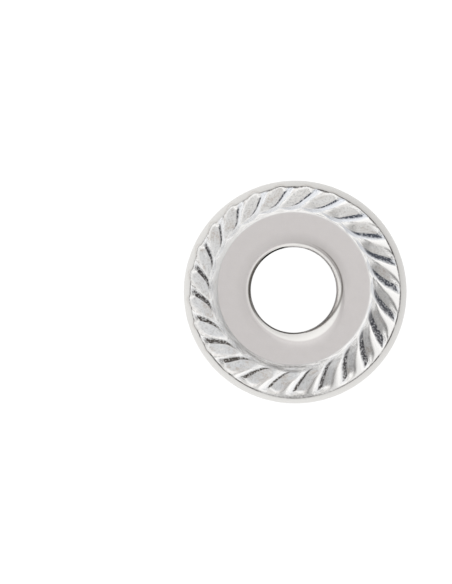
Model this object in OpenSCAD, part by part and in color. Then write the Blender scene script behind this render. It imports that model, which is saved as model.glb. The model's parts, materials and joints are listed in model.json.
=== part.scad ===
// Hexagon nut with a forged flange and a serrated bearing face.
// The nut stands on its plain hexagon end at z = 0, with the thread axis on Z
// and the serrated face up. All sizes are in millimetres.

/* [Bore] */
// Diameter of the bore, over the crests of the thread
bore_d = 6.8; // [6:0.05:7]
// Radius that rounds the mouth of the bore in the bearing face
mouth_round = 0.55; // [0.2:0.05:0.7]
// Width of the countersink round the bore, in the hexagon end
countersink_w = 0.8; // [0.3:0.05:1.1]
// Slope of the countersink against the end face, in degrees
countersink_angle = 45; // [30:1:60]

/* [Hexagon] */
// Width across the flats
across_flats = 13; // [12.4:0.1:13.4]
// Radius along the six corner edges
corner_round = 0.5; // [0.2:0.05:1]
// Distance from the flats to the edge of the flat end face, inside the chamfer
end_inset = 0.95; // [0.4:0.05:1.4]
// Slope of the chamfer against the end face, in degrees
chamfer_angle = 38; // [25:1:45]

/* [Flange] */
// Height of the nut, from the end face to the bearing face
nut_h = 8; // [7.6:0.1:10]
// Diameter of the flange over its rounded rim
flange_d = 17.2; // [16.8:0.1:18]
// Height of the rim's widest circle under the bearing face
rim_drop = 1.38; // [1.3:0.02:1.5]
// Radius of the rim above its widest circle
rim_front_round = 1.62; // [1.5:0.02:1.8]
// Radius of the rim below its widest circle
rim_back_round = 1.3; // [1:0.05:1.5]
// Slope of the flange's back against the bearing face, in degrees
back_angle = 18; // [15:1:25]
// Length of the bevel that blends each flat into the flange, below the flange's back
root_h = 0.25; // [0.1:0.05:0.5]
// Slope of that bevel against the flat, in degrees
root_angle = 30; // [15:1:40]

/* [Bearing face] */
// Diameter of the smooth ring round the bore
plain_ring_d = 11.7; // [11:0.1:12.2]
// Width of the rim outside the serrations
rim_w = 0.6; // [0.5:0.02:0.8]
// Fall of the serrated face towards the rim, in degrees
face_fall = 3; // [1:0.5:5]

/* [Serrations] */
// Number of teeth
teeth = 24; // [20:1:28]
// Distance from the smooth ring to the inner ends of the grooves
inner_gap = 0.2; // [0.1:0.05:0.5]
// Depth of a groove at its inner end
groove_depth = 0.18; // [0.12:0.01:0.22]
// Fall of a groove's bottom towards its outer end, in degrees
groove_fall = 5.5; // [3:0.5:7]
// Angle between a groove and the radius at its inner end, in degrees
groove_slant = 60; // [50:1:65]
// Radius of the curve that a groove follows
groove_curve = 10.5; // [8:0.5:20]
// Slope of the long side of a groove, in degrees
ramp_angle = 16; // [12:1:20]
// Slope of the short side of a groove, in degrees
flank_angle = 44; // [38:1:70]
// Distance from a groove's bottom to the centre of its leaf-shaped outline, on the steep side
leaf_offset = 0.66; // [0.4:0.02:1]
// Slope of the wall round that outline, in degrees
leaf_wall_angle = 45; // [35:1:60]

/* [Hidden] */
$fn = 96;
// Overlap of cutting solids past the surface that they cut
over = 0.2;
// Number of flats
flats = 6;

bore_r = bore_d / 2;
apothem = across_flats / 2;
// Half the angle between two flats, seen from the axis
half_turn = 180 / flats;
// Angle at which a corner's rounding meets the flats: the flats cut it a little short
corner_crease = 6;
// Distance from the axis to the centre of a corner's rounding
corner_centre = (apothem - corner_round * cos(corner_crease)) / cos(half_turn);
// Half the width across the rounded corners
corner_r = corner_centre + corner_round;
flange_r = flange_d / 2;
rim_z = nut_h - rim_drop;
plain_r = plain_ring_d / 2;
// Radius of the serrated face's outer edge
face_r = flange_r - rim_w;
// Where the straight back of the flange touches the rounded rim
back_touch = [
    flange_r - rim_back_round + rim_back_round * sin(back_angle),
    rim_z - rim_back_round * cos(back_angle)
];

// Height of the flange's back at a distance from the axis
function back_z(r) = back_touch[1] - (back_touch[0] - r) * tan(back_angle);

// Height of the bearing side, before the grooves, at a distance from the axis
function face_z(r) = nut_h - max(0, r - plain_r) * tan(face_fall);

// A groove starts here on the +X axis and curves outwards, clockwise as seen from above
groove_start = plain_r + inner_gap;
// Centre of the groove's arc, and its distance from the nut's axis
groove_centre = [groove_start, 0] + groove_curve * [sin(groove_slant), cos(groove_slant)];
centre_d = norm(groove_centre);
// Direction of a point of the arc, seen from the arc's centre and counted from the nut's axis
function arc_turn(r) =
    acos((centre_d * centre_d + groove_curve * groove_curve - r * r) / (2 * centre_d * groove_curve));
// Sweep and chord of the arc, from the groove's inner end to the edge of the face
groove_sweep = arc_turn(face_r) - arc_turn(groove_start);
groove_chord = 2 * groove_curve * sin(groove_sweep / 2);
// Direction of the chord, against the radius
chord_slant = groove_slant - groove_sweep / 2;
// Height of a groove's section, enough to reach above the face along its whole length
section_h = groove_depth + groove_chord * tan(groove_fall) + over;

// The hexagon with its corner edges rounded, as a flat outline
module hexagon_outline() {
    intersection() {
        circle(r = apothem / cos(half_turn), $fn = flats);
        union() {
            for (k = [0 : flats - 1])
                rotate(2 * k * half_turn)
                translate([corner_centre, 0])
                circle(r = corner_round);
            for (k = [0 : flats / 2 - 1])
                rotate((2 * k + 1) * half_turn)
                square([2 * (apothem + over), 2 * corner_centre * sin(half_turn)], center = true);
        }
    }
}

// The cone that chamfers the corners at the end face, as everything inside it
module chamfer_limit() {
    reach = across_flats;
    end_r = apothem - end_inset;
    rotate_extrude()
        polygon([
            [0, 0],
            [end_r, 0],
            [reach, (reach - end_r) * tan(chamfer_angle)],
            [reach, nut_h],
            [0, nut_h]
        ]);
}

// The wrench hexagon, from the end face up into the flange
module hexagon() {
    intersection() {
        linear_extrude(rim_z)
            hexagon_outline();
        chamfer_limit();
    }
}

// The bevel between the flats and the flange: two sloping sides, turned three times, within a cone
// that leaves the corner edges half the bevel's length higher than the sides leave the flats
module root_bevel() {
    start_z = back_z(apothem) - root_h;
    rise = rim_z - start_z;
    spread = rise * tan(root_angle);
    cone_r = corner_r - root_h / 2 * tan(root_angle);
    translate([0, 0, start_z])
        intersection() {
            intersection_for (k = [0 : flats / 2 - 1])
                rotate([90, 0, (2 * k + 1) * half_turn])
                linear_extrude(2 * flange_d, center = true)
                polygon([
                    [-apothem, 0],
                    [apothem, 0],
                    [apothem + spread, rise],
                    [-apothem - spread, rise]
                ]);
            cylinder(r1 = cone_r, r2 = cone_r + spread, h = rise);
        }
}

// The flange with its sloping back and full round rim, without the grooves
module flange() {
    rotate_extrude()
        intersection() {
            polygon([
                [0, 0],
                [flange_r + over, 0],
                [flange_r + over, face_z(flange_r + over)],
                [plain_r, nut_h],
                [0, nut_h]
            ]);
            union() {
                intersection() {
                    translate([flange_r - rim_back_round, rim_z])
                        circle(r = rim_back_round);
                    translate([0, rim_z - nut_h])
                        square([flange_r + over, nut_h]);
                }
                intersection() {
                    translate([flange_r - rim_front_round, rim_z])
                        circle(r = rim_front_round);
                    translate([0, rim_z])
                        square([flange_r + over, nut_h]);
                }
                polygon([
                    [0, back_z(0)],
                    back_touch,
                    [flange_r - rim_back_round, rim_z],
                    [flange_r - rim_front_round, nut_h],
                    [0, nut_h]
                ]);
            }
        }
}

// The outline of a groove: a circle through both ends of its bottom, with a sloping wall.
// Its centre lies on the steep side, so that the long side is cut to the shape of a leaf.
module leaf_outline() {
    leaf_r = norm([groove_chord / 2, leaf_offset]);
    wall_slope = tan(leaf_wall_angle);
    edge_z = face_z(face_r);
    translate(groove_centre)
        rotate([0, 0, 270 - groove_slant + groove_sweep / 2])
        translate([groove_curve * cos(groove_sweep / 2) + leaf_offset, 0, edge_z - leaf_r / 2 * wall_slope])
        cylinder(
            r1 = leaf_r / 2,
            r2 = leaf_r + (nut_h - edge_z + over) / wall_slope,
            h = leaf_r / 2 * wall_slope + nut_h - edge_z + over
        );
}

// One groove: a lopsided V swept along an arc, tipped so that it deepens towards the rim.
// The V runs on past both ends by the groove's own length, and the leaf's outline cuts it off.
module groove() {
    start_z = face_z(groove_start) - groove_depth;
    intersection() {
        translate([groove_start, 0, start_z])
            rotate([0, 0, -chord_slant])
            rotate([0, groove_fall, 0])
            rotate([0, 0, chord_slant])
            translate([groove_centre[0] - groove_start, groove_centre[1], 0])
            rotate([0, 0, 270 - groove_slant - groove_sweep])
            rotate_extrude(angle = 3 * groove_sweep)
            polygon([
                [groove_curve, 0],
                [groove_curve + section_h / tan(flank_angle), section_h],
                [groove_curve - section_h / tan(ramp_angle), section_h]
            ]);
        leaf_outline();
    }
}

module flange_nut() {
    color("silver")
        difference() {
            union() {
                hexagon();
                root_bevel();
                flange();
            }
            for (k = [0 : teeth - 1])
                rotate([0, 0, k * 360 / teeth])
                groove();
            bore();
        }
}

// The bore at the thread's crests, with its rounded mouth and its countersink
module bore() {
    sink_r = bore_r + countersink_w;
    sink_slope = tan(countersink_angle);
    translate([0, 0, -over])
        cylinder(r = bore_r, h = nut_h + 2 * over);
    translate([0, 0, -over])
        cylinder(
            r1 = sink_r + over / sink_slope,
            r2 = bore_r,
            h = (sink_r - bore_r) * sink_slope + over
        );
    rotate_extrude()
        difference() {
            translate([0, nut_h - mouth_round])
                square([bore_r + mouth_round, mouth_round + over]);
            translate([bore_r + mouth_round, nut_h - mouth_round])
                circle(r = mouth_round);
        }
}

flange_nut();
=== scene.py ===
# %% [markdown]
# # A serrated flange nut
#
# The nut is one piece of steel. A cold header forges the hexagon and the flange, a die presses a
# ring of slanted teeth into the flange's face, and a tap cuts the thread. It could be shown by the
# plain solid with a shiny material, but its character is in small things: the leaf-shaped ramps,
# the dark roots beside them, the bright rolled edges and the burnished rim. So this lesson builds
# one closed mesh in its place, with rows and columns that follow the teeth, and gives it a finish
# that knows where it lies on the nut.

# %% The frame
import json
import math

import bpy
import numpy as np
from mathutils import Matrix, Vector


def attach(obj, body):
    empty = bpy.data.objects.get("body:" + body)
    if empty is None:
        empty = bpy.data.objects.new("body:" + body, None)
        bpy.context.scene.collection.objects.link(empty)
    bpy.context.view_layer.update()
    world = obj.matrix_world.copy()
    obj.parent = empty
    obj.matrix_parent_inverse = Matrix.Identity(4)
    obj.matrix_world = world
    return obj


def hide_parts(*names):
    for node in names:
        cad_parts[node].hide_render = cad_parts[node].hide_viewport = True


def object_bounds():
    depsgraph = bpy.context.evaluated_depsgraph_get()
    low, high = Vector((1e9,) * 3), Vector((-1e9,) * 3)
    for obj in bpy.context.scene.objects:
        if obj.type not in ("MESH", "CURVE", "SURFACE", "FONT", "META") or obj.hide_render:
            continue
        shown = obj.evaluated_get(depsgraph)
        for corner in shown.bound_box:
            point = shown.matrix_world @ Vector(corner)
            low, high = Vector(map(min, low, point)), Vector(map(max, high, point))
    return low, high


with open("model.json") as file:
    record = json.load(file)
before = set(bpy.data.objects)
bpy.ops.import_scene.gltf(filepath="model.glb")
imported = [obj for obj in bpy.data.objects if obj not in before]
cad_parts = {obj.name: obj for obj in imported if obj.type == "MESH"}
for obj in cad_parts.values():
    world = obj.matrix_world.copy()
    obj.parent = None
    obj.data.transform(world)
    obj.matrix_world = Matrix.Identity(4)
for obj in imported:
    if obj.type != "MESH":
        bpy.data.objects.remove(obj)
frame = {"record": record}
cad_low, cad_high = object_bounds()
MM = 0.001
print("solid, in mm:", [round(v / MM, 2) for v in (*cad_low, *cad_high)])

# %% [markdown]
# ## Sizes
#
# Flange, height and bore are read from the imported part. The other sizes are in millimetres and
# degrees. Most are the solid's own, and some are fitted closer to this one nut. A forged part is
# never quite concentric: the plain ring, the teeth and the rim each have a centre of their own, a
# tenth or two of a millimetre off the bore's.

# %% Sizes
flange_r = cad_high.x / MM
nut_h = cad_high.z / MM
thread_bore = next(m for m in frame["record"]["mounts"] if m["name"] == "thread_bore")
bore_r = thread_bore["dims"]["r_mm"]
rim_drop, rim_front_round, rim_back_round = 1.38, 1.62, 1.3
rim_z = nut_h - rim_drop
plain_r, face_slope = 5.85, math.tan(math.radians(3.8))
teeth = 24
pitch = 2 * math.pi / teeth

rim_centre = np.array([0.12, -0.165])
plain_centre = np.array([0.01, 0.107])
teeth_centre = np.array([-0.135, 0.12])
print("flange radius", round(flange_r, 3), "height", round(nut_h, 3), "bore radius", bore_r)

# %% [markdown]
# ## The curve of a tooth
#
# Each groove follows an arc that leaves the inner ring at 60 degrees to the radius, and its inner
# end bends aside a little more. A square grid would need very many faces to show such slanted roots
# without steps. Here the columns of the mesh follow the same curve, so that every root lies along an
# edge of the mesh. They are crowded round it and on the steep flank, and sparse on the long ramp.

# %% Columns along the grooves
groove_start, groove_curve, groove_slant = 6.05, 10.5, math.radians(60)
curve_centre = np.array([
    groove_start + groove_curve * math.sin(groove_slant),
    groove_curve * math.cos(groove_slant),
])
curve_centre_d = np.hypot(*curve_centre)
curve_first_r, curve_last_r = 5.75, 8.6
bend_r, bend_more, bend_power, bend_lean = 6.75, 0.55, 1.5, 0.55
root_offsets = np.radians([
    9.8, 8.5, 7.2, 5.9, 4.6, 3.4, 2.3, 1.3, 0.5,
    0, -0.4, -0.8, -1.2, -1.6, -2.1, -2.7, -3.4, -4.3,
])
column_turn = np.concatenate([k * pitch + root_offsets[::-1] for k in range(teeth)])
column_tooth = np.repeat(np.arange(teeth), len(root_offsets))
columns = len(column_turn)


def inner_bend(r):
    """How far a groove's inner end bends aside, at a distance from the teeth's centre."""
    return bend_more * np.maximum(0, bend_r - r) ** bend_power


def groove_turn(radius):
    """Polar angle of a groove's root at a distance from the teeth's centre."""
    r = np.clip(radius, curve_first_r, curve_last_r)
    part = (r * r + curve_centre_d**2 - groove_curve**2) / (2 * r * curve_centre_d)
    arc = math.atan2(curve_centre[1], curve_centre[0]) - np.arccos(part)
    return arc + inner_bend(r) / (r * bend_lean)


print(columns, "columns; a groove turns by",
      round(math.degrees(groove_turn(8) - groove_turn(groove_start)), 1), "degrees")

# %% [markdown]
# ## Small helpers
#
# A smooth step fades one thing into another. A soft minimum or maximum of two heights rounds the
# edge or the corner in which two surfaces meet, which is how pressed metal looks. A value that
# changes round the ring is a base and a few bumps, each at one direction, in degrees from +X as the
# camera sees the nut.

# %% Helpers
def smooth(low, high, value):
    """Fades from 0 to 1 as the value goes from low to high."""
    share = np.clip((value - low) / (high - low), 0, 1)
    return share * share * (3 - 2 * share)


def soft_min(a, b, round_by):
    """The smaller of two heights, with the edge between them rounded."""
    mix = np.clip(0.5 + 0.5 * (b - a) / round_by, 0, 1)
    return a * mix + b * (1 - mix) - round_by * mix * (1 - mix)


def soft_max(a, b, round_by):
    """The larger of two heights, with the corner between them rounded."""
    return -soft_min(-a, -b, round_by)


def bump_at(turn, centre_deg, width_deg):
    """1 at a direction, in degrees, and fading to 0 with the angle from it."""
    off = (np.degrees(turn) - centre_deg + 180) % 360 - 180
    return np.exp(-(off / width_deg) ** 2)


def around(turn, base, *bumps):
    """A value round the ring: a base, and bumps of an amount, a direction and a width each."""
    return base + sum(amount * bump_at(turn, centre, width) for amount, centre, width in bumps)


print("two heights of 1 mm joined softly over 0.2 mm:", round(float(soft_min(1, 1, 0.2)), 3))

# %% [markdown]
# ## The place in a groove
#
# A worn die doesn't leave 24 equal teeth. Each groove here has a depth of its own by chance, and its
# root wavers by a hundredth of a millimetre. The place of a point is measured in the groove's own
# terms: across it from the root, with the long ramp on the negative side, and along it from its
# inner end. All 24 grooves then share one description.

# %% Place in a groove
chord_turn = math.radians(53.4)
along_per_r = 1.42
sink_spread = 0.012
waver, waver_rate = 0.014, 3.2
chance = np.random.default_rng(24)
tooth_sink = chance.normal(0, sink_spread, teeth)
tooth_wave = chance.uniform(0, 2 * math.pi, teeth)


def place_in_groove(x, y, tooth):
    """Distance across a groove from its root, and along it from its inner end."""
    tx, ty = x - teeth_centre[0], y - teeth_centre[1]
    turn = -tooth * pitch
    px = tx * np.cos(turn) - ty * np.sin(turn)
    py = tx * np.sin(turn) + ty * np.cos(turn)
    across = np.hypot(px - curve_centre[0], py - curve_centre[1]) - groove_curve
    along = (px - groove_start) * math.cos(chord_turn) - py * math.sin(chord_turn)
    across = across + inner_bend(groove_start + along / along_per_r)
    across = across + waver * np.sin(waver_rate * along + tooth_wave[tooth % teeth])
    return across, along


print("grooves differ in depth by up to", round(float(np.ptp(tooth_sink)), 3), "mm")

# %% [markdown]
# ## The walls of a groove
#
# The long ramp of each groove ends in a wall with the outline of a leaf, left by the die's rounded
# tooth. Seen from above, it is a circle through both ends of the groove. A second wall, about a
# centre of its own, ends the grooves before the rim. It could be a plain cone, but the die sat a
# little askew: at the upper left it bit deepest, and there the roots stop short of the rim while the
# ramps run out over it. At the lower right the leaves are longer and their walls gentler.

# %% Walls of a groove
leaf_inner, leaf_inner_more = -0.35, 0.25
leaf_outer, leaf_outer_less, leaf_ramp_less = 3.6, 0.75, 0.5
leaf_width, to_ramp = (0.95, (-0.27, -5, 50)), (0.02, -0.3)
leaf_slope, leaf_gentler = 0.9, 0.42
wall_centre = np.array([0.02, -0.05])
wall_r, wall_more = 8.22, 0.2
root_wall_more, root_wall_less, to_root = 0.16, 0.56, (-0.55, 0.05)
wall_slope, wall_steeper = math.tan(math.radians(38)), 0.3


def leaf_wall(face, turn, across, along, deep, shallow):
    """Height of the wall round a leaf, at points in a groove under a face."""
    inner_end = leaf_inner - leaf_inner_more * deep
    outer_end = (leaf_outer - leaf_outer_less * deep
                 - leaf_ramp_less * shallow * smooth(*to_ramp, across))
    width = around(turn, *leaf_width)
    radius = (((outer_end - inner_end) / 2) ** 2 + width**2) / (2 * width)
    from_middle = np.hypot(across - (radius - width), along - (inner_end + outer_end) / 2)
    return face - (radius - from_middle) * leaf_slope * (1 - leaf_gentler * shallow)


def rim_wall(x, y, across, deep):
    """Height of the wall that ends the grooves before the rim."""
    at_root = (root_wall_more - root_wall_less * deep) * smooth(*to_root, across)
    radius = wall_r + wall_more * deep + at_root
    from_middle = np.hypot(x - wall_centre[0], y - wall_centre[1])
    return nut_h - (radius - from_middle) * (wall_slope + wall_steeper * deep)


print("a leaf is about", round(leaf_outer - leaf_inner, 2), "mm long and",
      leaf_width[0], "mm wide on its ramp's side")

# %% [markdown]
# ## One groove
#
# In section a groove is a V: a long ramp of 16 to 20 degrees on one side of its root and a steep
# flank of 28 to 35 on the other. It fades in at the inner end and falls slowly towards the rim. The
# higher of V and walls is the groove's surface. A boolean with 24 cutters would give a similar form,
# but a height that can be worked out at any point needs no cleaning up, and on the way it also says
# how far a point lies from the root, which the finish needs.

# %% Height of one groove
shallow_side = math.radians(-32)
root_depth, root_more, root_less, root_fall = 0.235, 0.07, 0.055, 0.03
fade_first, fade_more, fade_last = -0.75, 0.3, 0.3
ramp_slope, ramp_steeper = math.tan(math.radians(16)), 0.3
flank_slope, flank_gentler = math.tan(math.radians(35)), 0.25
wall_round, ramp_end_round = 0.03, 0.08


def groove_surface(x, y, tooth, face):
    """Height of one groove, how far its V lies above its walls, and the place in it."""
    across, along = place_in_groove(x, y, tooth)
    turn = np.arctan2(y - teeth_centre[1], x - teeth_centre[0])
    deep = 0.5 * (1 - np.cos(turn - shallow_side))
    shallow = (1 - deep) ** 2
    depth = root_depth + root_more * deep - root_less * shallow + tooth_sink[tooth % teeth]
    fade = smooth(fade_first - fade_more * deep, fade_last, along)
    root = face - depth * fade - root_fall * along
    ramp = root - across * ramp_slope * (1 + ramp_steeper * shallow)
    flank = root + across * flank_slope * (1 - flank_gentler * shallow)
    leaf = leaf_wall(face, turn, across, along, deep, shallow)
    closed = soft_max(rim_wall(x, y, across, deep), leaf, wall_round)
    surface = np.maximum(soft_max(ramp, closed, ramp_end_round), flank)
    return surface, np.maximum(ramp, flank) - closed, across, along


print("a groove is", round(root_depth - root_less, 2), "to", round(root_depth + root_more, 3),
      "mm deep, before its fall and its own share of chance")

# %% [markdown]
# ## The whole face
#
# The face falls from the plain ring towards the rim, and a small step divides it from that ring,
# a deeper one at the bottom of the picture. Every point is pressed down by the three grooves nearest
# to it. Where a ramp meets the face the edge is fairly crisp, and where a flank meets it the metal
# has rolled over. The rounded rim cuts the result off.

# %% Height of the bearing face
step_depth, step_side = (0.02, (0.07, -97, 17)), (plain_r - 0.01, plain_r + 0.09)
ramp_edge, flank_edge = (0.025, (0.02, -10, 60)), 0.07
between_round, rim_edge = 0.04, 0.012
ridge_w = 0.075


def bearing_surface(x, y, tooth):
    """Height of the bearing face, rim included, and what is known of each point on it."""
    turn = np.arctan2(y - teeth_centre[1], x - teeth_centre[0])
    from_plain = np.hypot(x - plain_centre[0], y - plain_centre[1])
    from_rim = np.hypot(x - rim_centre[0], y - rim_centre[1])
    face = nut_h - np.maximum(0, from_plain - plain_r) * face_slope
    face = face - around(turn, *step_depth) * smooth(*step_side, from_plain)

    parts = [groove_surface(x, y, tooth + k, face) for k in (-1, 0, 1)]
    heights = np.stack([part[0] for part in parts])
    nearest = np.argmin(heights, axis=0)
    clear, across, along = (
        np.take_along_axis(np.stack([part[k] for part in parts]), nearest[None], 0)[0]
        for k in (1, 2, 3))
    ordered = np.sort(heights, axis=0)
    pocket = soft_min(ordered[0], ordered[1], between_round)
    pressed = pocket
    for surface, _, own_across, _ in parts:
        edge = np.where(own_across < 0, around(turn, *ramp_edge), flank_edge)
        pressed = np.minimum(pressed, soft_min(face, surface, edge))
    front = rim_front_round**2 - np.maximum(0, from_rim - (flange_r - rim_front_round))**2
    rim = rim_z + np.sqrt(np.maximum(front, 0))

    inside = smooth(0.0, 0.03, face - pocket) * smooth(0.02, -0.03, pressed - rim)
    known = {
        "turn": turn, "across": across, "along": along, "from_plain": from_plain,
        "tooth": (tooth + nearest - 1) % teeth,
        "inside": inside,
        "leaf": inside * smooth(0.0, 0.05, -across) * smooth(-0.02, 0.06, clear),
        "clear": smooth(-0.03, 0.03, clear),
        "ridge": smooth(ridge_w, 0.0, np.abs(face - pocket)) * (across < 0),
        "over_rim": pressed - rim,
    }
    return soft_min(pressed, rim, rim_edge), known


sample_r = 7.2
sample_z, _ = bearing_surface(np.array([sample_r]), np.array([0.0]), np.array([0]))
print("the face is", round(float(sample_z[0]), 2), "mm up at", sample_r, "mm out along +X")

# %% [markdown]
# ## One closed grid
#
# Rows of points run round the nut, from the mouth of the bore over the face, the rim, the back of
# the flange and the hexagon to the end face, and then up the thread to the mouth again. Every row
# has the same columns, so the faces between two rows are plain quads. A point of the face has to lie
# on its row's circle and on its column's curve at once, and a dozen rounds of correction find it.

# %% Rows and columns
rows = []
outer_r = 8.45
settle_rounds = 12


def add_row(x, y, z):
    """Adds a row of points, at one height or at a height each."""
    rows.append(np.stack([x, y, np.broadcast_to(z, x.shape)], axis=1))


def row_centre(radius):
    """The centre of a row: the plain ring's inside, the rim's outside."""
    share = smooth(plain_r, outer_r, radius)
    return plain_centre * (1 - share) + rim_centre * share


def face_row(radius):
    """Points at a radius about the row's centre, on columns that follow the grooves."""
    centre = row_centre(radius)
    reach = np.full(columns, float(radius))
    for _ in range(settle_rounds):
        turn = column_turn + groove_turn(reach)
        x = teeth_centre[0] + reach * np.cos(turn)
        y = teeth_centre[1] + reach * np.sin(turn)
        reach += radius - np.hypot(x - centre[0], y - centre[1])
    return x, y


inner_x, inner_y = face_row(plain_r - 0.35)
bore_turn = np.unwrap(np.arctan2(inner_y, inner_x))
print("the columns reach the bore turned by", round(math.degrees(bore_turn[0]), 1), "degrees")

# %% [markdown]
# ## The mouth and the plain ring
#
# The mouth of the bore was forged with the face and the tap came later, not quite in line. So the
# mouth is wide and soft at the lower right, and narrow and crisp on the other side. A bevel would be
# the same all round. Here it is a slope that is rounded into the plain ring by more or less.

# %% Rows of the mouth and the bearing face
mouth_slope = math.tan(math.radians(35))
mouth_steps, mouth_past = 14, 0.3
wide_side = (-64, 52)
mouth_reach, mouth_round = (3.60, (0.47, *wide_side)), (0.05, (0.34, *wide_side))
ring_rows = (4.5, 4.85, 5.2)


def mouth_edge(turn):
    """Radius at which the mouth's slope meets the plain ring."""
    return around(turn, *mouth_reach)


def mouth_height(radius):
    """The mouth's slope on the bore's columns, rounded into the plain ring."""
    slope = nut_h - (mouth_edge(bore_turn) - radius) * mouth_slope
    return soft_min(nut_h + 0 * radius, slope, around(bore_turn, *mouth_round))


for k in range(mouth_steps + 1):
    r = bore_r + (k / mouth_steps) * (mouth_edge(bore_turn) + mouth_past - bore_r)
    add_row(r * np.cos(bore_turn), r * np.sin(bore_turn), mouth_height(r))
mouth_last = len(rows)
for r in ring_rows:
    share = smooth(4.2, 5.5, r)
    add_row(plain_centre[0] * share + r * np.cos(bore_turn),
            plain_centre[1] * share + r * np.sin(bore_turn), nut_h)

face_first = len(rows)
face_rows = np.concatenate([[5.5, 5.7, 5.79], np.arange(5.84, 8.46, 0.04)])
known_rows = []
for r in face_rows:
    x, y = face_row(r)
    z, known = bearing_surface(x, y, column_tooth)
    known_rows.append(known)
    add_row(x, y, z)
face_last = len(rows)
print(face_last, "rows from the bore's mouth to the rim")

# %% [markdown]
# ## The rim
#
# The forging rolls the rim round, with a larger radius above its widest circle than below. Two arcs
# give it, and the lower one ends where it touches the straight back of the flange. Here the slanted
# columns begin to swing over to the hexagon's.

# %% Rows of the rim
front_steps, back_steps, back_share = 10, 12, 0.3
back_slope = math.tan(math.radians(18))
rim_turn = np.unwrap(np.arctan2(rows[-1][:, 1] - rim_centre[1], rows[-1][:, 0] - rim_centre[0]))
hexagon_turn = column_turn + round((rim_turn - column_turn).mean() / pitch) * pitch
front_lean = math.acos((face_rows[-1] - (flange_r - rim_front_round)) / rim_front_round)
back_lean = math.pi / 2 - math.atan(back_slope)


def rim_row(radius, z, share):
    """A row round the rim; its share says how far it has gone over to the hexagon's columns."""
    turn = rim_turn * (1 - share) + hexagon_turn * share
    centre = rim_centre * (1 - share)
    add_row(centre[0] + radius * np.cos(turn), centre[1] + radius * np.sin(turn), z)


for k in range(1, front_steps + 1):
    lean = front_lean * (1 - k / front_steps)
    rim_row(flange_r - rim_front_round + rim_front_round * math.cos(lean),
            rim_z + rim_front_round * math.sin(lean), 0)
for k in range(1, back_steps + 1):
    lean = back_lean * k / back_steps
    touch_r = flange_r - rim_back_round + rim_back_round * math.cos(lean)
    touch_z = rim_z - rim_back_round * math.sin(lean)
    rim_row(touch_r, touch_z, back_share * k / back_steps)
rim_last = len(rows)
print("the back of the flange begins", round(touch_r, 2), "mm out and", round(touch_z, 2), "mm up")

# %% [markdown]
# ## Hexagon, bevel and chamfer
#
# Below the flange, simple formulas say for each column where the flange's back meets the bevel,
# where the bevel meets the flat or the rounded corner, and where the chamfer cuts it. Booleans would
# give the same edges, but not on the columns that come from the face.

# %% Outline of the hexagon
apothem, corner_round, corner_crease = 6.5, 0.5, math.radians(6)
half_turn = math.pi / 6
corner_centre = (apothem - corner_round * math.cos(corner_crease)) / math.cos(half_turn)
from_corner = (hexagon_turn + half_turn) % (2 * half_turn) - half_turn
from_flat = half_turn - np.abs(from_corner)
flat_r = apothem / np.cos(from_flat)
swing = corner_centre * np.sin(np.abs(from_corner))
corner_hit = corner_centre * np.cos(from_corner) + np.sqrt(
    np.maximum(corner_round**2 - swing**2, 0))
corner_reach = math.atan2(
    corner_round * math.sin(half_turn - corner_crease),
    corner_centre + corner_round * math.cos(half_turn - corner_crease))
near_corner = (swing < corner_round) & (np.abs(from_corner) < corner_reach)
hexagon_r = np.where(near_corner, np.minimum(corner_hit, flat_r), flat_r)
print("the hexagon is", round(2 * float(hexagon_r.max()), 2), "mm wide over its rounded corners")

# %% Bevel and chamfer
end_inset, chamfer_slope = 0.95, math.tan(math.radians(38))
bevel_h, bevel_slope = 0.25, math.tan(math.radians(30))
back_0 = touch_z - touch_r * back_slope
bevel_z = back_0 + apothem * back_slope - bevel_h
cone_r = corner_centre + corner_round - bevel_h / 2 * bevel_slope
bevel_rise = (back_0 - bevel_z) * bevel_slope
side_top = (apothem + bevel_rise) / (np.cos(from_flat) - back_slope * bevel_slope)
cone_top = (cone_r + bevel_rise) / (1 - back_slope * bevel_slope)
top_r = np.minimum(side_top, cone_top)
top_z = back_0 + top_r * back_slope
low_z = np.where(side_top < cone_top, bevel_z, bevel_z + (hexagon_r - cone_r) / bevel_slope)
low_z = np.maximum(low_z, bevel_z)
end_r = apothem - end_inset
chamfer_z = (hexagon_r - end_r) * chamfer_slope
print("the chamfer leaves the corners", round(float(chamfer_z.max()), 2), "mm above the end face")

# %% Rows of the hexagon
countersink_w = 0.8
sink_r = bore_r + countersink_w


def hexagon_row(radius, z):
    """A row on the hexagon's own columns."""
    add_row(radius * np.cos(hexagon_turn), radius * np.sin(hexagon_turn), z)


for share in (0.35, 0.7, 0.9):
    r = touch_r + (top_r - touch_r) * share
    rim_row(r, back_0 + r * back_slope, back_share + (1 - back_share) * share)
for share in (0, 0.33, 0.66, 1):
    hexagon_row(top_r + (hexagon_r - top_r) * share, top_z + (low_z - top_z) * share)
side_first = len(rows)
for share in (0.04, 0.15, 0.3, 0.5, 0.7, 0.85, 0.96, 1):
    hexagon_row(hexagon_r, low_z + (chamfer_z - low_z) * share)
chamfer_first = len(rows)
for share in (0.1, 0.35, 0.65, 0.9, 1):
    hexagon_row(hexagon_r + (end_r - hexagon_r) * share, chamfer_z * (1 - share))
for share in (0.06, 0.3, 0.7, 0.94, 1):
    hexagon_row(np.full(columns, end_r + (sink_r - end_r) * share), 0.0)
hexagon_last = len(rows)
print(hexagon_last, "rows outside the bore")

# %% [markdown]
# ## The thread
#
# An M8 coarse thread climbs 1.25 mm each turn. Its profile could be swept along a helix and joined
# to the bore by a boolean, which leaves ragged edges where it runs out into the mouth. Here each row
# of the bore climbs with the helix instead, so that crests, flanks and roots follow the rows. Rows
# that would leave the nut are held at its ends. The price is one upright seam, where the last column
# meets the first and every row drops by a whole pitch. The camera looks past it, down the bore.

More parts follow.
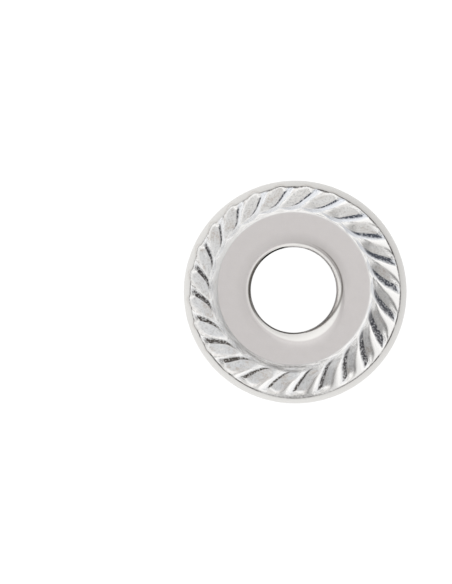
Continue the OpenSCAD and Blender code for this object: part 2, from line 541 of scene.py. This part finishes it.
# %% Rows of the thread
thread_pitch, thread_root_r, crest_w, root_w = 1.25, 4.0, 0.4, 0.156
flank_w = (thread_pitch - crest_w - root_w) / 2
flank_r = (bore_r + thread_root_r) / 2
profile = [
    (0, bore_r), (crest_w / 2, bore_r), (crest_w, bore_r), (crest_w + flank_w / 2, flank_r),
    (crest_w + flank_w, thread_root_r), (crest_w + flank_w + root_w, thread_root_r),
    (crest_w + 1.5 * flank_w + root_w, flank_r),
]
turns_below, turns_above = -2, 8
run_out_first, run_out_last = nut_h - 1.3, nut_h - 0.4
mouth_z = mouth_height(bore_r)
climb = (hexagon_turn - hexagon_turn[0]) / (2 * math.pi) * thread_pitch
top_turn = bore_turn + round((hexagon_turn - bore_turn).mean() / pitch) * pitch
for turn_count in range(turns_below, turns_above):
    for place, r in profile:
        z = turn_count * thread_pitch + place + climb
        held = np.clip(z, 0.0, mouth_z)
        in_nut = (z >= 0) & (z <= mouth_z)
        cut = smooth(run_out_last, run_out_first, held)
        radius = np.where(in_nut, bore_r + (r - bore_r) * cut, bore_r)
        radius = np.maximum(radius, sink_r - held)
        share = held / nut_h
        turn = hexagon_turn * (1 - share) + top_turn * share
        add_row(radius * np.cos(turn), radius * np.sin(turn), held)
count = len(rows)
print(count - hexagon_last, "rows on the thread")

# %% [markdown]
# ## The mesh
#
# Each quad joins two neighbours of one row to two of the next, and the last column joins the first.
# The gap between the last row and the first is closed later, because the masks need every point in
# its row and column.

# %% Mesh
points = np.concatenate(rows)
row_start = np.arange(count - 1)[:, None] * columns
column = np.arange(columns)[None, :]
next_column = (column + 1) % columns
grid = np.stack([
    row_start + column, row_start + columns + column,
    row_start + columns + next_column, row_start + next_column,
], axis=-1).reshape(-1, 4)
mesh = bpy.data.meshes.new("flange_nut_shell")
mesh.from_pydata((points * MM).tolist(), [], grid.tolist())
mesh.update()
nut = bpy.data.objects.new("flange_nut_shell", mesh)
bpy.context.scene.collection.objects.link(nut)
print(len(points), "points")

# %% [markdown]
# ## Where things are
#
# The finish has to know the roots from the lands. An image could say so, but it would have to be
# painted and unwrapped. Here each point gets a few numbers, its masks, most of them from 0 to 1,
# from the same measures as the height of the face. The toothed ring begins at the plain ring's edge,
# and its inmost half millimetre is a smooth collar that the grooves hardly reach.

# %% What is known of the bearing face
mask_names = ("root_shade", "crease_shade", "tan_edge", "burnish_and_highlight", "tone_and_rim_shade",
              "drawn", "polish", "sky_reflection", "relief", "forged")
masks = {name: np.zeros((count, columns), np.float32) for name in mask_names}
face_part = slice(face_first, face_last)
facts = {name: np.stack([known[name] for known in known_rows]) for name in known_rows[0]}
turn, from_plain, over_rim = facts["turn"], facts["from_plain"], facts["over_rim"]
across, along, inside = facts["across"], facts["along"], facts["inside"]
in_ring = smooth(plain_r, plain_r + 0.06, from_plain)
collar = 1 - smooth(plain_r + 0.2, plain_r + 0.6, from_plain)
on_rim = smooth(-0.02, 0.05, over_rim)
print("masks:", ", ".join(mask_names))

# %% [markdown]
# ## Dark roots
#
# Shade is painted into the roots, on the steep side: the shadow in the root and the dark that the
# steep flank reflects. The dark band is wide at the lower right, less so on the left and narrow at the
# top, and it fades towards the groove's inner end. At the bottom, shade is also painted in a faint
# wavy band under the plain ring and in a band beside the rim.

# %% Dark roots
dark_width = (0.13, (0.52, -22, 45), (0.30, 195, 50), (0.10, 35, 25))
dark_least, dark_waver = 0.01, 0.15
rim_edge_shade_strength, rim_edge_shade_at = 0.3, (0, (1, -86, 15))
under_ring_shade_strength, under_ring_shade_at = 0.5, (0, (1, -96, 15), (0.3, -125, 16))
under_ring_shade_out, under_ring_shade_waver, under_ring_shade_waves = 0.44, 0.07, 11

dark_w = around(turn, *dark_width) * (1 + dark_waver * np.sin(tooth_wave[facts["tooth"]]))
dark_w = np.maximum(dark_w * smooth(-0.7, 2.2, along), dark_least)
from_root = np.maximum(across, 0) / dark_w
beside = smooth(1.15, 0.45, from_root) * smooth(-0.05, 0.0, across)
roots = beside * inside * facts["clear"] * smooth(0.0, 0.9, along)
rim_edge_shade = around(turn, *rim_edge_shade_at) * smooth(0.32, 0.05, np.abs(over_rim + 0.12))
under_ring_shade_d = np.abs(from_plain - plain_r - under_ring_shade_out - under_ring_shade_waver * np.sin(under_ring_shade_waves * turn))
under_ring_shade = around(turn, *under_ring_shade_at) * smooth(0.18, 0.04, under_ring_shade_d)
marks = np.maximum(rim_edge_shade_strength * rim_edge_shade, under_ring_shade_strength * under_ring_shade)
# Painted shade: the dark bands of the roots, and the bands under the plain ring and beside the rim.
masks["root_shade"][face_part] = np.maximum(roots, marks)
print("the roots' dark bands are", round(float(dark_w.max()), 2), "mm wide at most")

# %% [markdown]
# ## Creases
#
# Where the face meets the rounded rim, a fine dark line of painted shade comes and goes round the nut.
# A second one, short and wavy, is painted shade under the plain ring at the bottom. A groove could be
# cut into the mesh, but a line so thin shows no depth, so its colour is enough.

# %% Creases
line_width = (0.065, (0.05, 84, 20))
line_strength = (0.25, (0.8, 80, 38), (0.85, -10, 70), (0.6, 180, 40), (0.8, 235, 30), (0.3, -10, 50))
tail_out, tail_waver, tail_waves, tail_w = 0.23, 0.05, 9, 0.13
tail_strength = (0, (0.75, -96, 17), (0.3, -128, 20))

line = smooth(around(turn, *line_width), 0.005, np.abs(over_rim - 0.01))
tail_d = np.abs(from_plain - plain_r - tail_out - tail_waver * np.sin(tail_waves * turn))
tail = smooth(tail_w, 0.0, tail_d) * around(turn, *tail_strength)
# Painted shade in the crease by the rim and under the plain ring.
masks["crease_shade"][face_part] = np.maximum(line * around(turn, *line_strength), tail)
print("share of the face in a crease:", round(float((masks["crease_shade"][face_part] > 0.3).mean()), 3))

# %% [markdown]
# ## Bright, dull and tinted parts
#
# What the die rubbed is burnished: the lands between the leaves and the collar, but not the leaves
# themselves, and less of the collar on the left. Their near white is partly a painted highlight. The
# edges of the leaves have a tan tint, as has the collar at the lower left, and the flanks carry a
# painted bluish reflection of the sky. Relief says where scratches have depth: in the grooves and on
# the collar, and not on the smooth lands.

# %% Bright, dull and tinted parts
dull_left = (0, (0.6, 190, 65))
tan_strength, tan_side = (1, (-0.85, -10, 60)), (0, (0.35, -112, 28))
sky_reflection_strength = (0.3, (0.7, 55, 60))
drawn_strength = (0.25, (0.4, 35, 45), (0.75, -110, 40))

off_leaf = in_ring * (1 - facts["leaf"]) * (1 - on_rim)
# Burnished lands and collar, painted near white as a highlight too.
masks["burnish_and_highlight"][face_part] = off_leaf * (1 - collar * around(turn, *dull_left))
edge = facts["ridge"] * smooth(0.2, 0.8, along) * around(turn, *tan_strength)
masks["tan_edge"][face_part] = np.maximum(edge, in_ring * collar * around(turn, *tan_side))
flank_side = smooth(0.0, 0.12, across) * smooth(0.8, 0.2, across)
# Painted reflection of the sky on the flanks.
masks["sky_reflection"][face_part] = inside * flank_side * around(turn, *sky_reflection_strength)
masks["drawn"][face_part] = collar * around(turn, *drawn_strength)
masks["relief"][face_part] = np.maximum(collar, inside) * in_ring
print("share of the face that is burnished:",
      round(float((masks["burnish_and_highlight"][face_part] > 0.5).mean()), 2))

# %% [markdown]
# ## Rim, sides and tone
#
# The upper rim is polished by handling and the lower one half as much. From the flange's back down
# the steel is as forged, and a painted highlight runs along each of the hexagon's corners. One more
# number is a tone from -1 to 1: on the teeth it goes from a cooler to a warmer tint with the
# direction, and on the rim it marks the side painted in shade, at the upper right.

# %% Rim, sides and tone
rim_shade_side = (-1, (2, 32, 78))
warm_side = math.radians(50)
rim_part = slice(face_last, rim_last)
rim_point_z = points[:, 2].reshape(count, columns)[rim_part]

tone = in_ring * np.cos(turn - warm_side) * (1 - on_rim)
# On the rim, the tone is painted shade, darker towards the upper right.
masks["tone_and_rim_shade"][face_part] = tone + on_rim * around(turn, *rim_shade_side)
masks["tone_and_rim_shade"][rim_part] = around(rim_turn, *rim_shade_side)
masks["polish"][face_part] = on_rim
masks["polish"][rim_part] = 0.5 + 0.5 * smooth(rim_z - 0.35, rim_z + 0.15, rim_point_z)
masks["forged"][rim_last:hexagon_last] = 1
# Painted highlight along the hexagon's corner edges.
masks["burnish_and_highlight"][side_first:chamfer_first + 1] = smooth(0.028, 0.014, np.abs(from_corner))
print("mean polish of the rim:", round(float(masks["polish"][rim_part].mean()), 2))

# %% [markdown]
# ## Painted shade and highlight at the mouth
#
# Shade is painted round the mouth: a dark arc on its right side, a dark inner lip on the left, and a
# faint band where the mouth meets the plain ring. The slope itself is painted near white, worn metal
# with a painted highlight.

# %% Painted shade and highlight at the mouth
arc_strength, arc_width = 0.75, (0.085, (0.06, -22, 30))
lip_strength, lip_first_r, lip_last_r = 0.95, bore_r + 0.14, bore_r + 0.05
mouth_shade_strength = (0.09, (-0.09, *wide_side), (0.17, 42, 48))
bore_deg = (np.degrees(bore_turn) + 90) % 360 - 90
arc_r = 3.78 - 0.39 * smooth(15, -68, bore_deg)
arc_part = smooth(85, 35, bore_deg) * smooth(-84, -66, bore_deg)
lip_part = smooth(100, 150, bore_deg) * smooth(232, 195, bore_deg)
edge_r = mouth_edge(bore_turn)

mouth_r = np.stack([np.hypot(row[:, 0], row[:, 1]) for row in rows[:mouth_last]])
arc = smooth(around(bore_turn, *arc_width), 0.02, np.abs(mouth_r - arc_r)) * arc_part
lip = smooth(lip_first_r, lip_last_r, mouth_r) * lip_part
mouth_shade = smooth(4.12, 3.8, mouth_r) * smooth(edge_r - 0.08, edge_r + 0.05, mouth_r)
mouth_shade = mouth_shade * around(bore_turn, *mouth_shade_strength)
marks = np.maximum(arc_strength * arc, lip_strength * lip)
# Painted shade: the arc, the lip and the band round the mouth.
masks["crease_shade"][:mouth_last] = np.maximum(marks, mouth_shade)
# Painted highlight on the worn slope of the mouth.
masks["burnish_and_highlight"][:mouth_last] = smooth(0.03, -0.10, mouth_r - edge_r)
print("the mouth ends", round(float(edge_r.min()), 2), "to", round(float(edge_r.max()), 2),
      "mm from the axis")

# %% [markdown]
# ## The metal's flow
#
# Scratches and streaks follow the metal's flow under the die: along the ramps on the teeth, and
# round the collar inside them. So each point also gets a place that is measured across and along its
# own groove, and the textures use it, because plain object coordinates would run straight across.

# %% Flow and storing the masks
tooth_apart = 3.7
on_teeth = 1 - collar
flow = points.reshape(count, columns, 3).astype(np.float32)
drift = np.stack([
    (from_plain - plain_r) * collar + across * on_teeth,
    turn * plain_r * collar + along * on_teeth,
    facts["tooth"] * tooth_apart * on_teeth,
], axis=-1)
flow[face_part] = flow[face_part] * (1 - in_ring[..., None]) + drift * in_ring[..., None]

for name, values in masks.items():
    mesh.attributes.new(name, "FLOAT", "POINT").data.foreach_set("value", values.ravel())
mesh.attributes.new("flow", "FLOAT_VECTOR", "POINT").data.foreach_set("vector", flow.ravel())
print(len(mesh.attributes), "attributes on the mesh")

# %% [markdown]
# ## Closing the shell
#
# One ring of quads joins the last row of the thread to the first row of the mouth, and merging the
# points that fall together takes up the rows that were held at the ends. A modifier could merge them
# too, but here open edges and volume are measured at once. Edges over 32 degrees stay sharp, and
# all others are shaded smooth.

# %% Close the bore and merge the held points
import bmesh

merge_within, sharp_over = 2e-7, math.radians(32)
bm = bmesh.new()
bm.from_mesh(mesh)
bm.verts.ensure_lookup_table()
last_row = (count - 1) * columns
for j in range(columns):
    k = (j + 1) % columns
    bm.faces.new([bm.verts[i] for i in (last_row + j, j, k, last_row + k)])
bmesh.ops.remove_doubles(bm, verts=bm.verts, dist=merge_within)
open_edges = sum(1 for one in bm.edges if len(one.link_faces) != 2)
bm.normal_update()
bm.to_mesh(mesh)
print(len(bm.faces), "faces,", open_edges, "open edges, volume",
      round(bm.calc_volume(signed=True) / MM**3, 1), "mm3")
bm.free()
mesh.polygons.foreach_set("use_smooth", [True] * len(mesh.polygons))
mesh.set_sharp_from_angle(angle=sharp_over)
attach(nut, "root")
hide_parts("flange_nut")

# %% [markdown]
# ## Effects
#
# Two effects serve more than one steel, so each is a node group. Grain is the fine, even tooth of
# tumbled and plated steel, with broad clouds under it. Drawn lines are scratches that follow the
# metal's flow: noise that is stretched along one direction, which is simpler than modelling them.

# %% Grain
def new_group(name, inputs, outputs):
    """An empty node group with its sockets, and the nodes that stand for them inside."""
    group = bpy.data.node_groups.new(name, "ShaderNodeTree")
    for in_out, sockets in (("INPUT", inputs), ("OUTPUT", outputs)):
        for label, kind in sockets:
            group.interface.new_socket(label, in_out=in_out, socket_type="NodeSocket" + kind)
    return group, group.nodes.new("NodeGroupInput"), group.nodes.new("NodeGroupOutput")


broad_share = 0.11
grain, grain_in, grain_out = new_group(
    "steel_grain",
    [("Place", "Vector"), ("Size", "Float")], [("Fine", "Float"), ("Broad", "Float")])
broad_size = grain.nodes.new("ShaderNodeMath")
broad_size.operation = "MULTIPLY"
broad_size.inputs[1].default_value = broad_share
grain.links.new(grain_in.outputs["Size"], broad_size.inputs[0])
for label, size, detail in (("Fine", grain_in.outputs["Size"], 3),
                            ("Broad", broad_size.outputs[0], 4)):
    noise = grain.nodes.new("ShaderNodeTexNoise")
    noise.inputs["Detail"].default_value = detail
    grain.links.new(grain_in.outputs["Place"], noise.inputs["Vector"])
    grain.links.new(size, noise.inputs["Scale"])
    grain.links.new(noise.outputs["Fac"], grain_out.inputs[label])
print("group", grain.name)

# %% Drawn lines
lines, lines_in, lines_out = new_group(
    "drawn_lines", [("Place", "Vector"), ("Stretch", "Vector")], [("Line", "Float")])
stretch = lines.nodes.new("ShaderNodeVectorMath")
stretch.operation = "MULTIPLY"
lines.links.new(lines_in.outputs["Place"], stretch.inputs[0])
lines.links.new(lines_in.outputs["Stretch"], stretch.inputs[1])
noise = lines.nodes.new("ShaderNodeTexNoise")
for label, value in (("Scale", 1), ("Detail", 4), ("Roughness", 0.6)):
    noise.inputs[label].default_value = value
lines.links.new(stretch.outputs["Vector"], noise.inputs["Vector"])
lines.links.new(noise.outputs["Fac"], lines_out.inputs["Line"])
print("group", lines.name)

# %% [markdown]
# ## Steel
#
# The whole nut is one metal, so one material could colour it all by masks. The finish differs
# enough, though, to be clearer as three: plain forged steel, toothed and burnished steel, and the
# cut steel of the thread. The same few helpers place the nodes of all three.

# %% Material helpers
def plug(tree, socket, value):
    """Gives a socket its value: another socket, a number, a vector or a colour."""
    if isinstance(value, bpy.types.NodeSocket):
        tree.links.new(value, socket)
    elif socket.type == "RGBA":
        socket.default_value = (*value, 1)
    else:
        socket.default_value = value


def new_steel(name):
    """A metallic material, its node tree and its shader."""
    material = bpy.data.materials.new(name)
    material.use_nodes = True
    shader = material.node_tree.nodes["Principled BSDF"]
    shader.inputs["Metallic"].default_value = 1
    return material, material.node_tree, shader


def stored(tree, name, output="Fac"):
    """What was stored on the mesh's points: a mask, or the flow as a Vector."""
    node = tree.nodes.new("ShaderNodeAttribute")
    node.attribute_name = name
    return node.outputs[output]


def use(tree, group, **values):
    """Places a group in a material and fills its inputs."""
    node = tree.nodes.new("ShaderNodeGroup")
    node.node_tree = group
    for label, value in values.items():
        plug(tree, node.inputs[label], value)
    return node.outputs


def span(tree, value, low, high, to_low, to_high):
    """A mask spread from one range to another, and held at its ends."""
    node = tree.nodes.new("ShaderNodeMapRange")
    for label, given in (("Value", value), ("From Min", low), ("From Max", high),
                         ("To Min", to_low), ("To Max", to_high)):
        plug(tree, node.inputs[label], given)
    return node.outputs["Result"]


def math_node(tree, kind, a, b, clamp=True):
    """One sum on two masks or numbers, held between 0 and 1 unless clamp is off."""
    node = tree.nodes.new("ShaderNodeMath")
    node.operation = kind
    node.use_clamp = clamp
    plug(tree, node.inputs[0], a)
    plug(tree, node.inputs[1], b)
    return node.outputs[0]


def blend_colour(tree, factor, a, b):
    """Mixes two colours, each a socket or three numbers, by a mask."""
    node = tree.nodes.new("ShaderNodeMix")
    node.data_type = "RGBA"
    plug(tree, node.inputs["Factor"], factor)
    plug(tree, node.inputs[6], a)
    plug(tree, node.inputs[7], b)
    return node.outputs[2]


def add_bump(tree, shader, height, distance):
    """Presses a mask into the surface, by a distance in metres."""
    node = tree.nodes.new("ShaderNodeBump")
    plug(tree, node.inputs["Distance"], distance)
    plug(tree, node.inputs["Height"], height)
    plug(tree, shader.inputs["Normal"], node.outputs["Normal"])
    return node


print("material helpers are ready")

# %% [markdown]
# ## Plain steel
#
# The plain ring and the outside of the hexagon have never been rubbed: the steel is a warm, even
# grey with a very fine tooth. One flat colour would look like paint, so the grain moves colour and
# roughness a little. The same material serves the darker forged sides, the painted highlights on the
# corners and on the worn mouth, and the painted shade round the mouth, by their masks.

# %% Plain steel
grain_low, grain_high = (0.691, 0.661, 0.653), (0.765, 0.732, 0.723)
cloud, forged_side = (0.686, 0.654, 0.640), (0.52, 0.505, 0.49)
# A pale painted highlight for the corners and the mouth, and a brown painted shade for the mouth.
wear_and_highlight, crease_shade_brown = (0.93, 0.915, 0.89), (0.12, 0.105, 0.09)

plain_steel, tree, shader = new_steel("plain_steel")
steel_grain = use(tree, grain, Place=stored(tree, "flow", "Vector"), Size=16.0)
fine, broad = steel_grain["Fine"], steel_grain["Broad"]
pale = blend_colour(tree, span(tree, fine, 0.3, 0.7, 0, 1), grain_low, grain_high)
pale = blend_colour(tree, span(tree, broad, 0.35, 0.7, 0, 0.35), pale, cloud)
pale = blend_colour(tree, stored(tree, "forged"), pale, forged_side)
pale = blend_colour(tree, stored(tree, "burnish_and_highlight"), pale, wear_and_highlight)
pale = blend_colour(tree, stored(tree, "crease_shade"), pale, crease_shade_brown)
plug(tree, shader.inputs["Base Color"], pale)
plug(tree, shader.inputs["Roughness"], span(tree, fine, 0.3, 0.7, 0.38, 0.50))
add_bump(tree, shader, fine, 0.000004)
print(plain_steel.name, "has", len(tree.nodes), "nodes")

# %% [markdown]
# ## Toothed steel
#
# The ramps are matte and mottled, with fine lines along the metal's flow and a few brownish spots,
# cooler on one side of the ring and warmer on the other. They are built up in layers, from the
# ground colour to the smallest mark, as a painter would.

# %% Ramps of the teeth
ramp_cool, ramp_warm = (0.655, 0.670, 0.695), (0.705, 0.685, 0.655)
ramp_line, ramp_cloud = (0.77, 0.765, 0.755), (0.60, 0.595, 0.59)
ramp_pit, ramp_spot = (0.50, 0.495, 0.49), (0.50, 0.43, 0.37)
along_flow = (15.0, 1.1, 1.0)

toothed_steel, tree, shader = new_steel("toothed_steel")
steel_flow = stored(tree, "flow", "Vector")
steel_grain = use(tree, grain, Place=steel_flow, Size=8.0)
fine, broad = steel_grain["Fine"], steel_grain["Broad"]
scratch = use(tree, lines, Place=steel_flow, Stretch=along_flow)["Line"]
side = span(tree, stored(tree, "tone_and_rim_shade"), -1, 1, 0, 1)
ramp = blend_colour(tree, side, ramp_cool, ramp_warm)
ramp = blend_colour(tree, span(tree, scratch, 0.42, 0.60, 0, 1), ramp, ramp_line)
ramp = blend_colour(tree, span(tree, broad, 0.4, 0.65, 0, 0.5), ramp, ramp_cloud)
ramp = blend_colour(tree, span(tree, fine, 0.50, 0.66, 0, 0.8), ramp, ramp_pit)
spots = math_node(tree, "MULTIPLY", span(tree, broad, 0.52, 0.64, 0, 0.55),
                  span(tree, fine, 0.42, 0.58, 0, 1))
ramp = blend_colour(tree, spots, ramp, ramp_spot)
print("the ramps take", len(tree.nodes), "nodes")

# %% [markdown]
# ## Lands, rim and painted shade
#
# Over the ramps come the burnished lands, whose near white is partly a painted highlight, with drawn
# streaks on the collar, then the painted sky reflection on the flanks, the rolled rim with its painted
# lit and shaded sides, and the tan edges of the leaves. The painted shade of the roots and creases
# goes on last, over all the rest. Grain breaks both up, so that no dark band looks inked.

# %% Lands, rim and painted shade
# Painted light: the lands' near white is partly a painted highlight, the bluish flank colour a painted
# sky reflection, the two rim colours its painted lit and shaded sides, and the three dark colours
# painted shade.
land, land_streak = (0.95, 0.94, 0.925), (0.33, 0.31, 0.30)
flank_sky, edge_tan = (0.82, 0.85, 0.91), (0.42, 0.36, 0.31)
rim_lit, rim_shaded = (0.728, 0.717, 0.698), (0.61, 0.599, 0.582)
root_shade_brown, root_shade_blue, crease_shade_black = (0.080, 0.070, 0.062), (0.065, 0.073, 0.095), (0.09, 0.08, 0.08)
sky_reflection_share, tan_share = 0.8, 0.32

streaks = math_node(tree, "MULTIPLY", stored(tree, "drawn"),
                    span(tree, scratch, 0.36, 0.50, 1, 0))
bright = blend_colour(tree, stored(tree, "burnish_and_highlight"), ramp,
                      blend_colour(tree, streaks, land, land_streak))
# The painted sky reflection on the flanks.
sky_reflection = math_node(tree, "MULTIPLY", stored(tree, "sky_reflection"), sky_reflection_share)
bright = blend_colour(tree, sky_reflection, bright, flank_sky)
# The rim's painted lit and shaded sides.
bright = blend_colour(tree, stored(tree, "polish"), bright,
                      blend_colour(tree, side, rim_lit, rim_shaded))
tan_line = math_node(tree, "MULTIPLY", stored(tree, "tan_edge"), tan_share)
bright = blend_colour(tree, tan_line, bright, edge_tan)
# Painted shade in the roots, broken up by grain.
painted_root_shade = math_node(tree, "MULTIPLY", stored(tree, "root_shade"),
                 span(tree, fine, 0.42, 0.60, 1.4, 0.55))
dark = blend_colour(tree, painted_root_shade, bright, blend_colour(tree, side, root_shade_brown, root_shade_blue))
line_break = math_node(tree, "MULTIPLY", span(tree, broad, 0.40, 0.58, 0.35, 1.2),
                       span(tree, fine, 0.4, 0.6, 1.3, 0.6))
# Painted shade in the creases.
crease_shade_line = math_node(tree, "MULTIPLY", stored(tree, "crease_shade"), line_break)
plug(tree, shader.inputs["Base Color"], blend_colour(tree, crease_shade_line, dark, crease_shade_black))
plug(tree, shader.inputs["Roughness"], span(tree, stored(tree, "burnish_and_highlight"), 0, 1, 0.36, 0.24))
scratches = add_bump(tree, shader, scratch, 0.000022)
plug(tree, scratches.inputs["Strength"], stored(tree, "relief"))
print(toothed_steel.name, "has", len(tree.nodes), "nodes")

# %% [markdown]
# ## Thread steel
#
# A tap leaves clean, slightly darker metal with fine rings round the bore. The drawn lines do that
# when they are stretched round the axis and packed closely along it.

# %% Thread steel
cut_dark, cut_light = (0.52, 0.50, 0.48), (0.68, 0.665, 0.65)
round_bore = (0.4, 0.4, 26.0)

thread_steel, tree, shader = new_steel("thread_steel")
scratch = use(tree, lines, Place=stored(tree, "flow", "Vector"), Stretch=round_bore)["Line"]
cut_colour = blend_colour(tree, span(tree, scratch, 0.35, 0.65, 0, 1), cut_dark, cut_light)
plug(tree, shader.inputs["Base Color"], cut_colour)
plug(tree, shader.inputs["Roughness"], span(tree, scratch, 0.3, 0.7, 0.28, 0.4))
add_bump(tree, shader, scratch, 0.000006)
print(thread_steel.name, "has", len(tree.nodes), "nodes")

# %% [markdown]
# ## Which face has which steel
#
# The toothed steel begins at the plain ring's edge and ends at one height on the flange's back, which
# also takes in the bevel's tops at the six corners. The thread's begins below the mouth. The middle
# of each face decides. Separate objects would need joins that the real nut doesn't have.

# %% Give the faces their steel
toothed_from_z = 5.2
thread_from_z, thread_below_mouth, thread_within_r = 0.15, 0.004, 4.001
for material in (plain_steel, toothed_steel, thread_steel):
    mesh.materials.append(material)
middles = np.empty(len(mesh.polygons) * 3)
mesh.polygons.foreach_get("center", middles)
x, y, z = middles.reshape(-1, 3).T / MM
from_ring = np.hypot(x - plain_centre[0], y - plain_centre[1])
steel_of_face = np.zeros(len(x), np.int32)
steel_of_face[(from_ring > plain_r - 0.005) & (z > toothed_from_z)] = 1
mouth_foot = nut_h - (mouth_edge(np.arctan2(y, x)) - bore_r) * mouth_slope
below_mouth = (z > thread_from_z) & (z < mouth_foot - thread_below_mouth)
steel_of_face[(np.hypot(x, y) < thread_within_r) & below_mouth] = 2
mesh.polygons.foreach_set("material_index", steel_of_face)
print("faces of each steel:", np.bincount(steel_of_face).tolist())

# %% [markdown]
# ## The table
#
# Small parts are often photographed on a lit table, and so is this one: the ground is white even
# through the bore, and it lights the rim from below. A plane that gives its own light does that
# without any lamp, and its own colour is so dark that shadows hardly show on it.

# %% Table
table_size, table_light = 3, 0.99
bpy.ops.mesh.primitive_plane_add(size=table_size)
floor = bpy.context.object
floor.name = "floor"
paper = bpy.data.materials.new("lit_table")
paper.use_nodes = True
paper_shader = paper.node_tree.nodes["Principled BSDF"]
for label, value in (("Base Color", (0.10, 0.10, 0.10, 1)), ("Roughness", 0.9),
                     ("Specular IOR Level", 0.0), ("Emission Color", (1, 1, 1, 1)),
                     ("Emission Strength", table_light)):
    paper_shader.inputs[label].default_value = value
floor.data.materials.append(paper)
print("a lit table of", table_size, "m")

# %% [markdown]
# ## The light
#
# The light above is a soft white tent. A metal shows what surrounds it, so an even tent would leave
# the teeth flat and pale. This one is darker in four places: a grey card above the nut, towards the
# lower left, which the leaves mirror, the side at the upper right, the band low above the table and,
# faintly, the opening for the lens. It could be built of planes and lamps, but a world that depends
# on the direction alone has nothing to place. The camera itself sees plain white.

# %% Light
tent_light = 1.08
card_tilt, card_side, card_edge, card_middle, card_shade = 29, 212, 30, 12, 0.90
far_side, far_first, far_last, far_shade = 30, 0.25, 1.0, 0.26
low_first, low_last, low_shade = 0.0, 0.5, 0.30
lens_edge, lens_middle, lens_shade = 18, 7, 0.12

world = bpy.data.worlds.new("studio")
bpy.context.scene.world = world
world.use_nodes = True
tent = world.node_tree
where = tent.nodes.new("ShaderNodeTexCoord").outputs["Generated"]


def towards(tilt_deg, side_deg):
    """The cosine of the angle to a direction of the tent, given by its tilt off the zenith."""
    tilt, side = math.radians(tilt_deg), math.radians(side_deg)
    node = tent.nodes.new("ShaderNodeVectorMath")
    node.operation = "DOT_PRODUCT"
    plug(tent, node.inputs[0], where)
    node.inputs[1].default_value = (
        math.sin(tilt) * math.cos(side), math.sin(tilt) * math.sin(side), math.cos(tilt))
    return node.outputs["Value"]


def cos_deg(angle):
    """The cosine of an angle in degrees."""
    return math.cos(math.radians(angle))


upwards = towards(0, 0)
shades = (
    span(tent, towards(90, far_side), far_first, far_last, 0, far_shade),
    span(tent, upwards, low_first, low_last, low_shade, 0),
    span(tent, towards(card_tilt, card_side), cos_deg(card_edge), cos_deg(card_middle), 0, card_shade),
    span(tent, upwards, cos_deg(lens_edge), cos_deg(lens_middle), 0, lens_shade),
)
light = tent_light
for shade in shades:
    light = math_node(tent, "SUBTRACT", light, shade, clamp=False)
shown = tent.nodes.new("ShaderNodeMix")
plug(tent, shown.inputs["Factor"], tent.nodes.new("ShaderNodeLightPath").outputs["Is Camera Ray"])
plug(tent, shown.inputs["A"], light)
plug(tent, shown.inputs["B"], 1.0)
background = tent.nodes["Background"]
plug(tent, background.inputs["Color"], shown.outputs["Result"])
plug(tent, background.inputs["Strength"], 1.0)
print("the tent has", len(shades), "darker places")

# %% [markdown]
# ## Camera
#
# The lens looks straight down on the bearing face from 250 mm above the rim's widest circle, far
# enough to see the bore's wall as no more than a thin ring. A shift puts the rim's centre where it
# lies in the picture without tilting the view, and the view is turned by about two degrees, as the
# nut lay. The scale in pixels to the millimetre gives the focal length.

# %% Camera
frame_w, frame_h = 452, 584
rim_px, px_per_mm, camera_above = (295.2, 292.05), 12.96, 250.0
view_roll = math.radians(-2.3)
sensor_w, clip_near, clip_far = 36, 0.01, 10

camera_data = bpy.data.cameras.new("camera")
camera = bpy.data.objects.new("camera", camera_data)
bpy.context.scene.collection.objects.link(camera)
camera_data.sensor_width = sensor_w
camera_data.lens = sensor_w * camera_above * px_per_mm / frame_h
camera_data.shift_x = -(rim_px[0] - frame_w / 2) / frame_h
camera_data.shift_y = (rim_px[1] - frame_h / 2) / frame_h
camera.location = (rim_centre[0] * MM, rim_centre[1] * MM, (rim_z + camera_above) * MM)
camera.rotation_euler = (0, 0, view_roll)
camera_data.clip_start = clip_near
camera_data.clip_end = clip_far
bpy.context.scene.camera = camera
bpy.context.scene.view_settings.view_transform = "Standard"
print("focal length", round(camera_data.lens, 1), "mm")
